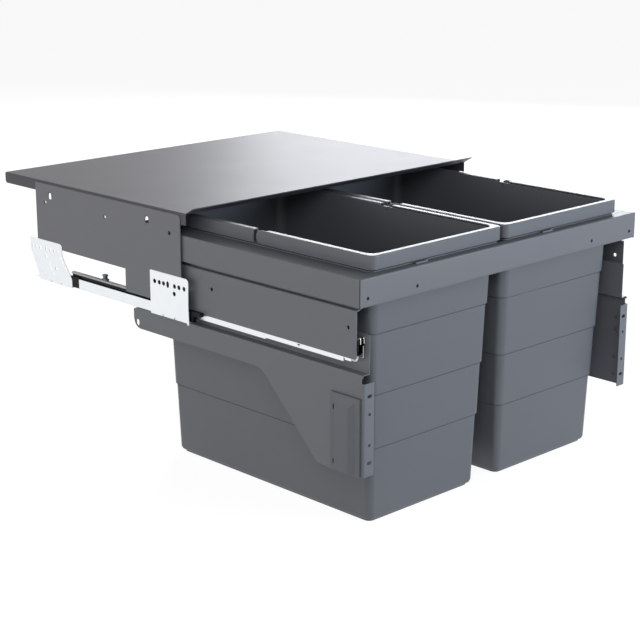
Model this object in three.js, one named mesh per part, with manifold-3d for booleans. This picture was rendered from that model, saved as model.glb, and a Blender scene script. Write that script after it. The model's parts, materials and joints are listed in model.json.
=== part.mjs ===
// Pull-out waste unit for a base cabinet, drawn out to the stop of its runners.
// A fixed cover with two side plates hangs on four zinc brackets that screw to the cabinet walls.
// A sheet-steel frame with two lift-out bins rides on telescopic runners below the cover.
//
// Millimetres, +Z up, +X to the right as seen from the front; the drawer opens towards -Y.
// While it is modelled, Y = 0 is the front bend of the cover and Z = 0 is the cover's top face;
// the exported group lifts the model so that Z = 0 lies at the feet of the bins.
// Every side piece is drawn for the right-hand side (+X) and mirrored for the left.

import * as THREE from 'three';
import { mergeVertices } from 'three/addons/utils/BufferGeometryUtils.js';
import Module from 'manifold-3d';

const wasm = await Module();
wasm.setup();

// ---------------------------------------------------------------- driving dimensions

const SHEET = 1.2; // steel sheet of the cover, plates, frame and rails
const BEND = 1; // inside radius of a bend in that sheet
const RUN_GAP = 0.3; // clearance between pieces that slide on each other

const COVER = {
  width: 559.6, // over its flanges; sets the width of the whole unit
  depth: 421,
  flange: 16,
  lipForward: 15.2,
  lipRise: 8.8,
  tabDepth: 40,
  tabWidth: 14,
  tabsAt: [33.3, 176, 319.2], // distance of the three fixing tabs from the front bend
  flangeCorner: 4,
};

const SIDE_PLATE = {
  front: 10.5,
  rear: 342,
  gap: 3.5, // below the cover's top face
  height: 93.5,
  legRear: 132,
  legHeight: 126.2,
  corner: 5,
  screwDepth: 31, // row of fixing screws, below the cover's top face
  screwRadius: 2.8,
};

const BRACKET = { sheet: 1, top: -88, bottom: -149.4, corner: 6, holeRadius: 3.2, tail: 2.6, rib: 1.4, ribDepth: 0.4, notch: 3.2 };
const FRONT_BRACKET = { front: -5.5, length: 81.5, holeRow: -102.8 };
const REAR_BRACKET = { front: 281, length: 79, slant: 22.5, shoulder: -106, holeRow: -100.8 };

const FRAME = {
  clearance: 1, // to the cover's flange
  top: -31,
  height: 36.4,
  frontLedge: 15.9,
  rearLedge: 14.5,
  sideLedge: 35.1,
  ledgeGap: 1, // between a ledge and the wall of a bin
  lowerLip: 12.2,
  cornerGap: 1.1, // between the front panel and the side strips
  tabHeight: 1.6,
};

const RUNNER_SIDE = {
  inset: 5.6, // from the face of the frame
  gap: 5.3, // below the frame
  riserInside: 21.4, // height of the riser inside the frame
  riserInset: 5.8,
  bottom: -135,
  frontGap: 12.4,
  rearGap: 9,
  corner: 3,
  screwHeight: -96.2,
  screwsAt: [-42, -295.8],
};

const RUNNER = {
  travel: 310,
  width: 11.6, // over the moving rail
  top: -124.5,
  height: 16.7,
  frontGap: 22.4, // from the face of the frame to the moving rail
  length: 342,
  footLength: 11, // narrow stub ahead of the white strip
  footGap: 2,
  footRise: 2.4,
  middleWidth: 6.8,
  middleHeight: 13.4,
  middleFront: 12, // front ends of the guide and of the middle rail when the drawer is in
  middleLength: 338,
  guideWidth: 3.4,
  cage: 4.2, // diameter of the rollers
  cageStrip: 1.6,
  cageLength: 96,
  cageRollers: 5,
  fixedFront: -4,
  fixedLength: 356,
  webHeight: 15.2,
  webLength: 247,
};

const DAMPER = { front: 84, length: 178, gap: 1.6, top: -125, lid: 2.6, slotFront: 176, slotLength: 62, slotWidth: 2.4 };
const TRIGGER = { front: 179, length: 12, height: 9, foot: 2.4 };
const MOUTH = { front: -25, nose: 15, noseHeight: 6, length: 43, top: -132, lowTop: -138 };

const DOOR_BRACKET = {
  proud: 0.6, // ahead of the frame's face
  length: 452,
  innerRise: 20.9, // of the inner plate above the moving rail
  innerSetback: 2.7,
  innerLength: 343,
  clearance: 3.2, // between the step and the wall brackets above it
  armHeight: 30.4,
  height: 133.8, // of the outer plate
  slopeTop: 187.5, // distances from the front flange
  slopeBottom: 82,
  plateSetback: 5,
  flangeGap: 10.9, // below the step
  flangeWidth: 17.6,
  holeInset: 9.8,
  slotDepths: [27.8, 114.4], // below the step
  holeDepths: [51.1, 91.5],
};

const CAP = {
  setback: 5.4, // behind the front flange
  drop: 30.6, // below the step
  width: 51.2,
  height: 102.8,
  base: 3,
  raise: 5.6,
  rearMargin: 12,
  frontMargin: 6.5,
  topMargin: 4.3,
  bottomMargin: 3,
  frontBevel: 8.5,
  topBevel: 10.3,
  slotInset: 6.1,
  slotWidth: 2,
  slotHeight: 6.4,
  slotDepths: [19.2, 90.9],
};

const CATCH = { front: 11.2, top: -110.6, shoulder: -116, bottom: -133, throat: 6, wall: 2.2 };

const BIN = {
  apart: 2.6, // half the gap between the two rims
  centreY: -100,
  halfDepth: 205.5,
  cornerRadius: 14, // of the wall
  rimRadius: 9,
  wall: 2.2,
  depth: 337, // from the ledge to the feet
  rimAbove: 21.8, // from the ledge to the top of the rim
  rimDrop: 18.3,
  rimOut: 6.5,
  rimWall: 2,
  ledgeOut: 3.5,
  ledge: 1.8,
  draft: 0.0303, // drawn in per millimetre of depth
  step: 1.5,
  stepHeight: 0.4,
  tiers: [81, 162, 235], // depths of the steps below the ledge
  footInset: 5,
  footHeight: 2.4,
  heel: 5,
};

const BAIL = { pivotAhead: 12.65, endGap: 4.7, pinRadius: 3, pinGap: 0.4, webStart: 8.5, wallDrop: 3 };

const HOLE_STEPS = 14;
const CORNER_STEPS = 4;
const BIN_CORNER_STEPS = 6;

// ---------------------------------------------------------------- sizes that follow from them

const coverFace = COVER.width / 2; // outer face of the cover's flanges
const plateFace = coverFace + SHEET; // outer face of the side plates
const bracketFace = plateFace + BRACKET.sheet; // outermost face, against the cabinet wall

const frame = {
  halfWidth: coverFace - SHEET - FRAME.clearance,
  front: BIN.centreY - BIN.halfDepth - FRAME.ledgeGap - FRAME.frontLedge,
  rear: BIN.centreY + BIN.halfDepth + FRAME.ledgeGap + FRAME.rearLedge,
  bottom: FRAME.top - FRAME.height,
};

const bin = {
  halfWidth: (frame.halfWidth - FRAME.sideLedge - FRAME.ledgeGap - BIN.rimOut - BIN.apart) / 2,
  rimTop: FRAME.top + BIN.rimAbove,
  bottom: FRAME.top - BIN.depth,
  tiers: BIN.tiers.map((depth) => FRAME.top - depth),
};
bin.centre = bin.halfWidth + BIN.rimOut + BIN.apart;

const runnerFace = frame.halfWidth - RUNNER_SIDE.inset; // outer face of the lower side strips
const railOuter = runnerFace - SHEET; // outer face of the moving rail
const railInner = railOuter - RUNNER.width;
const railMid = (railInner + railOuter) / 2;
const fixedFloor = BRACKET.bottom + BRACKET.sheet; // underside of the fixed rail
const upperCageTop = RUNNER.top - SHEET - RUN_GAP;
const middleTop = upperCageTop - RUNNER.cage - RUN_GAP;
const lowerCageTop = middleTop - SHEET - RUN_GAP;
const guideTop = lowerCageTop - RUNNER.cage - RUN_GAP;

const bracket = {
  face: railOuter, // outer face of the door bracket's outer plate
  inner: railInner, // outer face of its inner plate, against the moving rail
  innerTop: RUNNER.top + DOOR_BRACKET.innerRise,
  front: frame.front - DOOR_BRACKET.proud,
  step: BRACKET.bottom - DOOR_BRACKET.clearance,
};

const pivot = { y: BIN.centreY - BAIL.pivotAhead, z: bin.rimTop - BIN.rimDrop / 2 };

// ---------------------------------------------------------------- finishes

const finish = {
  powderCoat: { color: 0x6c6d72, roughness: 0.42, metalness: 0.1 },
  zinc: { color: 0xe4e7ea, roughness: 0.32, metalness: 0.85 },
  binPlastic: { color: 0x6a6e75, roughness: 0.55, metalness: 0 },
  bailPlastic: { color: 0x7b8087, roughness: 0.35, metalness: 0 },
  greyPlastic: { color: 0x767a80, roughness: 0.5, metalness: 0 },
  blackPlastic: { color: 0x17181a, roughness: 0.5, metalness: 0 },
};

// ---------------------------------------------------------------- outlines

/** Closed outline from [a, b, radius] corners; a corner with a radius becomes an arc. */
function outline(corners, steps = CORNER_STEPS) {
  return corners.flatMap(([a, b, radius = 0], i) => {
    const corner = new THREE.Vector2(a, b);
    if (radius === 0) return [corner];
    const before = corners[(i + corners.length - 1) % corners.length];
    const after = corners[(i + 1) % corners.length];
    return fillet(corner, new THREE.Vector2(before[0], before[1]), new THREE.Vector2(after[0], after[1]), radius, steps);
  });
}

/** Points of the arc that rounds a corner between the lines to two neighbours. */
function fillet(corner, before, after, radius, steps) {
  const back = before.clone().sub(corner).normalize();
  const ahead = after.clone().sub(corner).normalize();
  const half = Math.acos(THREE.MathUtils.clamp(back.dot(ahead), -1, 1)) / 2;
  const centre = corner.clone().add(back.clone().add(ahead).normalize().multiplyScalar(radius / Math.sin(half)));
  const start = corner.clone().addScaledVector(back, radius / Math.tan(half)).sub(centre);
  const end = corner.clone().addScaledVector(ahead, radius / Math.tan(half)).sub(centre);
  const sweep = Math.atan2(start.cross(end), start.dot(end));
  return Array.from({ length: steps + 1 }, (_, k) =>
    start.clone().rotateAround(new THREE.Vector2(), (sweep * k) / steps).add(centre));
}

/** Circle as a closed outline. */
function circle(a, b, radius, steps = HOLE_STEPS) {
  return Array.from({ length: steps }, (_, k) => {
    const turn = (2 * Math.PI * k) / steps;
    return new THREE.Vector2(a + radius * Math.cos(turn), b + radius * Math.sin(turn));
  });
}

/** Half circle about a point, from a starting angle on and turning left. */
function halfCircle(a, b, radius, from, steps) {
  return Array.from({ length: steps + 1 }, (_, k) => {
    const turn = from + (Math.PI * k) / steps;
    return new THREE.Vector2(a + radius * Math.cos(turn), b + radius * Math.sin(turn));
  });
}

/** Slot with round ends from one end centre to the other. */
function slotBetween([a0, b0], [a1, b1], width, steps = 5) {
  const turn = Math.atan2(b1 - b0, a1 - a0);
  return halfCircle(a1, b1, width / 2, turn - Math.PI / 2, steps).concat(halfCircle(a0, b0, width / 2, turn + Math.PI / 2, steps));
}

/** Slot of an overall length, lying along the first axis of the outline or standing along the second. */
function slot(a, b, length, width, upright = false) {
  const reach = (length - width) / 2;
  return upright ? slotBetween([a, b - reach], [a, b + reach], width) : slotBetween([a - reach, b], [a + reach, b], width);
}

/** Keyhole: a wide seat below with a narrower neck above it. */
function keyhole(y, z, width, length) {
  return outline([[y - width / 2, z - length / 2, 1.6], [y + width / 2, z - length / 2, 1.6],
    [y + width / 2, z, 0.6], [y + width / 3.2, z + length / 2, 1], [y - width / 3.2, z + length / 2, 1],
    [y - width / 2, z, 0.6]], 3);
}

/** Cross-section of a bent sheet whose middle surface follows a line of sharp corners. */
function sheetOutline(corners, thickness = SHEET, bend = BEND) {
  const line = corners.map(([a, b]) => new THREE.Vector2(a, b));
  const middle = line.flatMap((point, i) => (i === 0 || i === line.length - 1
    ? [point] : fillet(point, line[i - 1], line[i + 1], bend + thickness / 2, 3)));
  const left = [];
  const right = [];
  middle.forEach((point, i) => {
    const back = i > 0 ? point.clone().sub(middle[i - 1]).normalize() : null;
    const ahead = i < middle.length - 1 ? middle[i + 1].clone().sub(point).normalize() : null;
    const along = (back && ahead ? back.clone().add(ahead) : back ?? ahead).normalize();
    const stretch = back && ahead ? 1 / along.dot(ahead) : 1;
    const normal = new THREE.Vector2(-along.y, along.x).multiplyScalar((thickness / 2) * stretch);
    left.push(point.clone().add(normal));
    right.unshift(point.clone().sub(normal));
  });
  return left.concat(right);
}

// ---------------------------------------------------------------- prisms and lofts

const AXES = {
  x: [[0, 1, 0], [0, 0, 1], [1, 0, 0]], // outline in Y, Z
  y: [[0, 0, 1], [1, 0, 0], [0, 1, 0]], // outline in Z, X
  z: [[1, 0, 0], [0, 1, 0], [0, 0, 1]], // outline in X, Y
};

/** Prism of an outline along an axis, from one place to another, with holes through it. */
function prism(axis, points, from, to, holes = []) {
  const shape = new THREE.Shape(points);
  shape.holes = holes.map((hole) => new THREE.Path(hole));
  const geometry = new THREE.ExtrudeGeometry(shape, { depth: to - from, bevelEnabled: false, curveSegments: 1 });
  const [a, b, c] = AXES[axis].map((v) => new THREE.Vector3(...v));
  geometry.translate(0, 0, from).applyMatrix4(new THREE.Matrix4().makeBasis(a, b, c));
  return toSolid(geometry);
}

/** Outline given in X, Z turned to the Z, X order of a prism along Y. */
const zx = (points) => points.map((p) => new THREE.Vector2(p.y, p.x));

/** Straight-sided block between two opposite corners. */
function block([x0, y0, z0], [x1, y1, z1]) {
  const geometry = new THREE.BoxGeometry(x1 - x0, y1 - y0, z1 - z0);
  return toSolid(geometry.translate((x0 + x1) / 2, (y0 + y1) / 2, (z0 + z1) / 2));
}

/** Solid with a list of others cut out of it. */
const cutAll = (solid, cuts) => cuts.reduce((rest, cut) => rest.subtract(cut), solid);

/** Ring of points round a rectangle with round corners, counter-clockwise from above. */
function ring(halfX, halfY, radius, z, [cx, cy]) {
  const points = [];
  for (let quarter = 0; quarter < 4; quarter += 1) {
    const signX = quarter === 0 || quarter === 3 ? 1 : -1;
    const signY = quarter < 2 ? 1 : -1;
    for (let k = 0; k <= BIN_CORNER_STEPS; k += 1) {
      const turn = (Math.PI / 2) * (quarter + k / BIN_CORNER_STEPS);
      points.push(new THREE.Vector3(
        cx + signX * (halfX - radius) + radius * Math.cos(turn),
        cy + signY * (halfY - radius) + radius * Math.sin(turn),
        z,
      ));
    }
  }
  return points;
}

/** Skin over rings, either closed with a flat cap at each end or joined round from last to first. */
function loft(rings, closed = false) {
  const count = rings[0].length;
  const positions = rings.flat().flatMap((p) => [p.x, p.y, p.z]);
  const index = [];
  const last = closed ? rings.length : rings.length - 1;
  for (let i = 0; i < last; i += 1) {
    const low = i * count;
    const high = ((i + 1) % rings.length) * count;
    for (let j = 0; j < count; j += 1) {
      const next = (j + 1) % count;
      index.push(low + j, low + next, high + next, low + j, high + next, high + j);
    }
  }
  if (!closed) {
    [[0, true], [rings.length - 1, false]].forEach(([i, down]) => {
      const centre = positions.length / 3;
      const mid = rings[i].reduce((sum, p) => sum.add(p), new THREE.Vector3()).divideScalar(count);
      positions.push(mid.x, mid.y, mid.z);
      for (let j = 0; j < count; j += 1) {
        const [here, next] = [i * count + j, i * count + ((j + 1) % count)];
        index.push(centre, down ? next : here, down ? here : next);
      }
    });
  }
  const geometry = new THREE.BufferGeometry();
  geometry.setAttribute('position', new THREE.Float32BufferAttribute(positions, 3));
  geometry.setIndex(index);
  return toSolid(geometry);
}

/** Closed three.js geometry as a solid that can be joined and cut. */
function toSolid(geometry) {
  const bare = geometry.clone();
  bare.deleteAttribute('normal');
  bare.deleteAttribute('uv');
  const merged = mergeVertices(bare, 1e-4);
  return new wasm.Manifold(new wasm.Mesh({
    numProp: 3,
    vertProperties: Float32Array.from(merged.attributes.position.array),
    triVerts: Uint32Array.from(merged.index.array),
  }));
}

/** Solid as a three.js geometry, mirrored to the left-hand side when asked. */
function toGeometry(solid, mirrored = false) {
  const { vertProperties, triVerts } = solid.getMesh();
  const positions = Float32Array.from(vertProperties, (value, i) => (mirrored && i % 3 === 0 ? -value : value));
  const index = Array.from(triVerts);
  if (mirrored) {
    for (let i = 0; i < index.length; i += 3) [index[i + 1], index[i + 2]] = [index[i + 2], index[i + 1]];
  }
  const geometry = new THREE.BufferGeometry();
  geometry.setAttribute('position', new THREE.BufferAttribute(positions, 3));
  geometry.setIndex(index);
  geometry.computeVertexNormals();
  return geometry;
}

// ---------------------------------------------------------------- cover and side plates

/** Top sheet with a flange down each side, three fixing tabs per flange and an upturned front lip. */
function makeCover() {
  const mid = SHEET / 2;
  const edge = coverFace - mid;
  const top = sheetOutline([[-edge, -COVER.flange], [-edge, -mid], [edge, -mid], [edge, -COVER.flange]]);
  const lip = sheetOutline([[BEND * 4, -mid], [0, -mid], [-COVER.lipForward, COVER.lipRise - mid]]);
  let cover = prism('y', zx(top), 0, COVER.depth).add(prism('x', lip, -edge, edge));
  const cuts = [];
  [-1, 1].forEach((side) => {
    const outer = side > 0 ? coverFace : -coverFace + SHEET;
    COVER.tabsAt.forEach((y) => {
      const half = COVER.tabWidth / 2;
      const tab = outline([[y - half, -COVER.flange / 2], [y - half, -COVER.tabDepth, 4],
        [y + half, -COVER.tabDepth, 4], [y + half, -COVER.flange / 2]]);
      cover = cover.add(prism('x', tab, outer - SHEET, outer));
      cuts.push(prism('x', circle(y, -SIDE_PLATE.screwDepth, SIDE_PLATE.screwRadius), outer - SHEET - 1, outer + 1));
    });
  });
  // round the rear lower corner of both flanges
  const arc = fillet(new THREE.Vector2(COVER.depth, -COVER.flange), new THREE.Vector2(COVER.depth, 0),
    new THREE.Vector2(0, -COVER.flange), COVER.flangeCorner, CORNER_STEPS);
  const nip = [new THREE.Vector2(COVER.depth - COVER.flangeCorner, -COVER.flange - 1), new THREE.Vector2(COVER.depth + 1, -COVER.flange - 1),
    new THREE.Vector2(COVER.depth + 1, -COVER.flange + COVER.flangeCorner), ...arc];
  cuts.push(prism('x', nip, -coverFace - 1, coverFace + 1));
  return cutAll(cover, cuts);
}

/** Side plate outside the cover's flange, with a leg behind the front bracket. */
function makeSidePlate() {
  const p = SIDE_PLATE;
  const [top, bottom, legBottom] = [-p.gap, -p.gap - p.height, -p.gap - p.legHeight];
  const edge = outline([
    [p.front, top, p.corner], [p.front, legBottom, 3], [p.legRear, legBottom, 1], [p.legRear, bottom], [p.rear, bottom, p.corner], [p.rear, top],
  ]);
  const holes = [
    ...COVER.tabsAt.map((y) => circle(y, -p.screwDepth, p.screwRadius)),
    keyhole(306.6, -19.5, 7, 11),
    keyhole(81, -19.5, 7.6, 10),
  ];
  return prism('x', edge, coverFace, plateFace, holes);
}

// ---------------------------------------------------------------- wall brackets

/** Zinc bracket: an upright plate on the cabinet wall with a seat turned in under the rail. */
function makeBracket(corners, holes, ribs, seatFrom, seatTo) {
  const b = BRACKET;
  const plate = prism('x', outline(corners), plateFace, bracketFace, holes);
  const mid = b.sheet / 2;
  const seatInner = railMid - RUNNER.guideWidth / 2;
  const turn = sheetOutline([[bracketFace - mid, b.bottom + 12], [bracketFace - mid, b.bottom + mid],
    [seatInner, b.bottom + mid]], b.sheet, 0.6);
  const third = (seatTo - seatFrom) / 3;
  const notches = [1, 2].map((k) => seatFrom + k * third).map((y) => block(
    [plateFace - 0.6, y - b.notch / 2, b.bottom - 1], [bracketFace + 1, y + b.notch / 2, b.bottom + 2.4]));
  const grooves = ribs.map(([from, to]) => prism('x', slotBetween(from, to, b.rib, 3), bracketFace - b.ribDepth, bracketFace + 1));
  return cutAll(plate.add(prism('y', zx(turn), seatFrom, seatTo)), [...notches, ...grooves]);
}

/** Front bracket with its row of screw holes. */
function makeFrontBracket() {
  const { front, length, holeRow } = FRONT_BRACKET;
  const rear = front + length;
  const { holeRadius: r, bottom, top, corner, tail } = BRACKET;
  const row = [71.7, 61.7, 52.5, 29.2, 19.9, 9.1].map((y) => circle(front + y, holeRow, r));
  const holes = [...row, slot(front + 43.7, holeRow, 9, 2 * r - 0.8, true), circle(front + 30.1, holeRow - 10.6, r)];
  const corners = [[front, top, corner], [front + 1, -124], [front, bottom - tail, 1], [front + 3.6, bottom - tail],
    [front + 4.6, bottom], [rear, bottom, 1], [rear, top, 2]];
  return makeBracket(corners, holes, [], front + 6, rear - 2);
}

/** Rear bracket, which slants forward below its row of screw holes, stiffened by three pressed ribs. */
function makeRearBracket() {
  const { front, length, slant, shoulder, holeRow } = REAR_BRACKET;
  const rear = front + length;
  const r = BRACKET.holeRadius - 0.5;
  const row = [73.3, 63.7, 54.1, 29.4, 19.4, 9.9].map((y) => circle(front + y, holeRow, r));
  const holes = [...row, slot(front + 39.4, holeRow + 0.6, 8, 4, true), circle(front + 41, holeRow - 10.7, r),
    circle(front + 15.6, holeRow - 26.2, r)];
  const ribs = [[[rear - 4.5, -106.3], [rear - 38, -147]], [[rear - 46.6, -119.9], [rear - 60.5, -140.9]],
    [[rear - 75.5, -107.4], [rear - 89, -126.1]]];
  const corners = [[front, BRACKET.top, BRACKET.corner], [front, shoulder, 10],
    [front - slant, -137, 4], [front - slant, BRACKET.bottom, 1], [rear - slant, BRACKET.bottom, 2],
    [rear, shoulder, 8], [rear, BRACKET.top, 2]];
  return makeBracket(corners, holes, ribs, front - slant + 3, rear - slant - 4);
}

// ---------------------------------------------------------------- runners

/** Fixed rail: outer web, floor and the upright guide that the middle rail straddles. */
function makeFixedRail() {
  const mid = SHEET / 2;
  const [front, rear] = [RUNNER.fixedFront, RUNNER.fixedFront + RUNNER.fixedLength];
  const half = RUNNER.guideWidth / 2;
  const web = sheetOutline([[plateFace - mid, fixedFloor + RUNNER.webHeight], [plateFace - mid, fixedFloor + mid],
    [railMid, fixedFloor + mid]]);
  const floor = block([railMid - half, front, fixedFloor], [plateFace - SHEET * 2, rear, fixedFloor + SHEET]);
  const guide = block([railMid - half, RUNNER.middleFront, fixedFloor], [railMid + half, rear, guideTop]);
  return prism('y', zx(web), front, front + RUNNER.webLength).add(floor).add(guide);
}

/** Middle rail: an inverted channel over the guide. */
function makeMiddleRail() {
  const mid = SHEET / 2;
  const half = RUNNER.middleWidth / 2 - mid;
  const bottom = middleTop - RUNNER.middleHeight;
  const section = sheetOutline([[railMid - half, bottom], [railMid - half, middleTop - mid],
    [railMid + half, middleTop - mid], [railMid + half, bottom]], SHEET, 0.3);
  const front = RUNNER.middleFront - RUNNER.travel / 2;
  return prism('y', zx(section), front, front + RUNNER.middleLength);
}

/** Moving rail: a wider inverted channel that carries the drawer, with a slimmer stub at its front. */
function makeMovingRail() {
  const mid = SHEET / 2;
  const [inner, outer] = [railInner + mid, railOuter - mid];
  const bottom = RUNNER.top - RUNNER.height;
  const section = sheetOutline([[inner, bottom], [inner, RUNNER.top - mid], [outer, RUNNER.top - mid], [outer, bottom]], SHEET, 0.6);
  const front = frame.front + RUNNER.frontGap;
  const stub = front + RUNNER.footLength;
  const outside = [railOuter - SHEET - 0.5, railOuter + 1];
  return cutAll(prism('y', zx(section), front, front + RUNNER.length), [
    block([outside[0], stub, bottom - 1], [outside[1], stub + RUNNER.footGap, bottom + 6.5]),
    block([outside[0], front - 1, bottom - 1], [outside[1], stub + RUNNER.footGap / 2, bottom + RUNNER.footRise]),
    prism('x', slot(front + 92.5, bottom + 4, 5, 2.2), ...outside),
  ]);
}

/** Roller cage: a slim strip with a row of rollers standing just proud of it. */
function makeCage(centre, top, width) {
  const half = width / 2;
  const front = centre - RUNNER.cageLength / 2;
  const middle = top - RUNNER.cage / 2;
  const strip = block([railMid - half, front, middle - RUNNER.cageStrip / 2],
    [railMid + half, front + RUNNER.cageLength, middle + RUNNER.cageStrip / 2]);
  const pitch = RUNNER.cageLength / RUNNER.cageRollers;
  return Array.from({ length: RUNNER.cageRollers }, (_, k) => circle(front + pitch * (k + 0.5), middle, RUNNER.cage / 2, 10))
    .reduce((cage, roller) => cage.add(prism('x', roller, railMid - half + 0.4, railMid + half - 0.4)), strip);
}

const damper = {
  inner: runnerFace + DAMPER.gap,
  outer: plateFace - SHEET - RUN_GAP,
  rear: DAMPER.front + DAMPER.length,
};
damper.middle = (damper.inner + damper.outer) / 2;

/** Space of the slot that the soft-close trigger slides in. */
function triggerSlot() {
  const half = DAMPER.slotWidth / 2;
  return block([damper.middle - half, DAMPER.slotFront, DAMPER.top - DAMPER.lid - 3],
    [damper.middle + half, DAMPER.slotFront + DAMPER.slotLength, DAMPER.top + 1]);
}

/** Soft-close housing in the fixed rail, with a taller block at its rear end. */
function makeDamper() {
  const floor = fixedFloor + SHEET;
  const webRear = RUNNER.fixedFront + RUNNER.webLength;
  const body = block([damper.inner + 1, DAMPER.front, floor], [damper.outer - 1.6, damper.rear, DAMPER.top - DAMPER.lid]);
  const rearBlock = block([damper.inner + 1, webRear + RUN_GAP, floor], [plateFace - 0.2, damper.rear, fixedFloor + RUNNER.webHeight + 2]);
  return body.add(rearBlock).subtract(triggerSlot());
}

/** Lid of the soft-close housing, slotted for the trigger. */
function makeDamperLid() {
  const [low, high] = [DAMPER.top - DAMPER.lid, DAMPER.top];
  const section = outline([[damper.inner, low], [damper.outer, low], [damper.outer, high, 0.8], [damper.inner, high, 0.8]]);
  return prism('y', zx(section), DAMPER.front, damper.rear).subtract(triggerSlot());
}

/** Trigger of the soft close: a post with a flared head, on a foot that slides in the slot. */
function makeTrigger() {
  const [y0, y1] = [TRIGGER.front, TRIGGER.front + TRIGGER.length];
  const middle = (y0 + y1) / 2;
  const half = DAMPER.slotWidth / 2 - RUN_GAP;
  const { top } = DAMPER;
  const [foot, head] = [top + TRIGGER.foot, top + TRIGGER.height];
  const stem = block([damper.middle - half, y0, top - 4], [damper.middle + half, y1, top + 1]);
  const post = prism('x', outline([[y0, top + RUN_GAP], [y1, top + RUN_GAP], [y1, foot, 0.8], [middle + 2.2, foot + 1, 0.4],
    [middle + 2.2, head - 3], [middle + 4, head - 2], [middle + 4, head, 0.8], [middle - 4, head, 0.8], [middle - 4, head - 2],
    [middle - 2.2, head - 3], [middle - 2.2, foot + 1, 0.4], [y0, foot, 0.8]], 3), damper.middle - 2.4, damper.middle + 2.4);
  return stem.add(post);
}

/** Plastic mouth at the front end of the fixed rail, which steadies the moving rail. */
function makeRailMouth() {
  const floor = fixedFloor + SHEET;
  const { front, nose, noseHeight, length, top, lowTop } = MOUTH;
  const shape = outline([[front + nose, floor], [front + length, floor], [front + length, lowTop], [front + length - 12, top, 1],
    [front, top, 1.5], [front, top - noseHeight, 1.5], [front + nose, top - noseHeight]]);
  return prism('x', shape, runnerFace + 2 * RUN_GAP, plateFace - SHEET - BEND - RUN_GAP);
}

// ---------------------------------------------------------------- drawer frame

/** Cylinder along Y for a hole. */
const drillY = (x, z, radius, from, to) => prism('y', zx(circle(x, z, radius)), from, to);

/** Folded front panel: an upright web with a ledge for the bins and a lip turned in below. */
function makeFrontPanel() {
  const mid = SHEET / 2;
  const { front, bottom, halfWidth } = frame;
  const { top } = FRAME;
  const section = sheetOutline([[front + FRAME.frontLedge, top - mid], [front + mid, top - mid],
    [front + mid, bottom + mid], [front + FRAME.lowerLip, bottom + mid]]);
  const end = halfWidth - SHEET - RUN_GAP; // ledge and lip stop short of the side strips
  const face = outline([[front, bottom], [front, top], [front + SHEET, top], [front + SHEET, bottom]]);
  let panel = prism('x', section, -end, end).add(prism('x', face, -halfWidth, -end + 1)).add(prism('x', face, end - 1, halfWidth));
  [-bin.centre, bin.centre].forEach((x) => {
    const tab = outline([[x - 46, front + 8.4], [x - 24, front + 8.4], [x - 24, front + 12.2, 1.5], [x - 46, front + 12.2, 1.5]]);
    panel = panel.add(prism('z', tab, top - 0.4, top + FRAME.tabHeight));
  });
  const holes = [halfWidth - 12.8, halfWidth - 100.1].flatMap((x) => [-x, x])
    .map((x) => drillY(x, bottom + 11, 2.2, front - 1, front + SHEET + 1));
  return cutAll(panel, holes);
}

/** Rear rail of the frame. */
function makeRearRail() {
  const mid = SHEET / 2;
  const { rear, bottom, halfWidth } = frame;
  const section = sheetOutline([[rear - FRAME.rearLedge, FRAME.top - mid], [rear - mid, FRAME.top - mid],
    [rear - mid, bottom + mid], [rear - FRAME.lowerLip, bottom + mid]]);
  const end = halfWidth - SHEET - RUN_GAP;
  return prism('x', section, -end, end);
}

/** Side strip of the frame, with the wide ledge that the rims of the bins stand on. */
function makeFrameSide() {
  const mid = SHEET / 2;
  const { front, rear, bottom, halfWidth } = frame;
  const { top, sideLedge, frontLedge, rearLedge, lowerLip } = FRAME;
  const section = sheetOutline([[halfWidth - sideLedge, top - mid], [halfWidth - mid, top - mid],
    [halfWidth - mid, bottom + mid], [runnerFace - RUNNER_SIDE.riserInset, bottom + mid]]);
  const strip = prism('y', zx(section), front + SHEET + FRAME.cornerGap, rear);
  const clear = halfWidth - SHEET;
  const half = (top + bottom) / 2;
  return cutAll(strip, [
    block([0, front, half], [clear, front + frontLedge + RUN_GAP, top + 1]),
    block([0, front, bottom - 1], [clear, front + lowerLip + RUN_GAP, half]),
    block([0, rear - rearLedge - RUN_GAP, half], [clear, rear + 1, top + 1]),
    block([0, rear - lowerLip - RUN_GAP, bottom - 1], [clear, rear + 1, half]),
  ]);
}

/** Lower side strip that hangs from the frame and carries the moving rail. */
function makeRunnerSide() {
  const mid = SHEET / 2;
  const r = RUNNER_SIDE;
  const top = frame.bottom - r.gap;
  const riserTop = frame.bottom + r.riserInside;
  const [front, rear] = [frame.front + r.frontGap, frame.rear - r.rearGap];
  const riser = runnerFace - r.riserInset - mid;
  const section = sheetOutline([[riser, riserTop], [riser, top - mid], [runnerFace - mid, top - mid], [runnerFace - mid, r.bottom]]);
  const riserFront = frame.front + FRAME.lowerLip + 2;
  const riserRear = frame.rear - FRAME.lowerLip - 2;
  const edge = outline([[front, r.bottom, r.corner], [rear, r.bottom, r.corner], [rear, top + 1], [riserRear, top + 1],
    [riserRear, riserTop + 1], [riserFront, riserTop + 1], [riserFront, top + 1], [front, top + 1]]);
  const screws = r.screwsAt.map((y) => prism('x', circle(y, r.screwHeight, 1.8), runnerFace - SHEET - 1, runnerFace + 1));
  return cutAll(prism('y', zx(section), front, rear).intersect(prism('x', edge, riser - 2, runnerFace + 1)), screws);
}

// ---------------------------------------------------------------- door brackets

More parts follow.
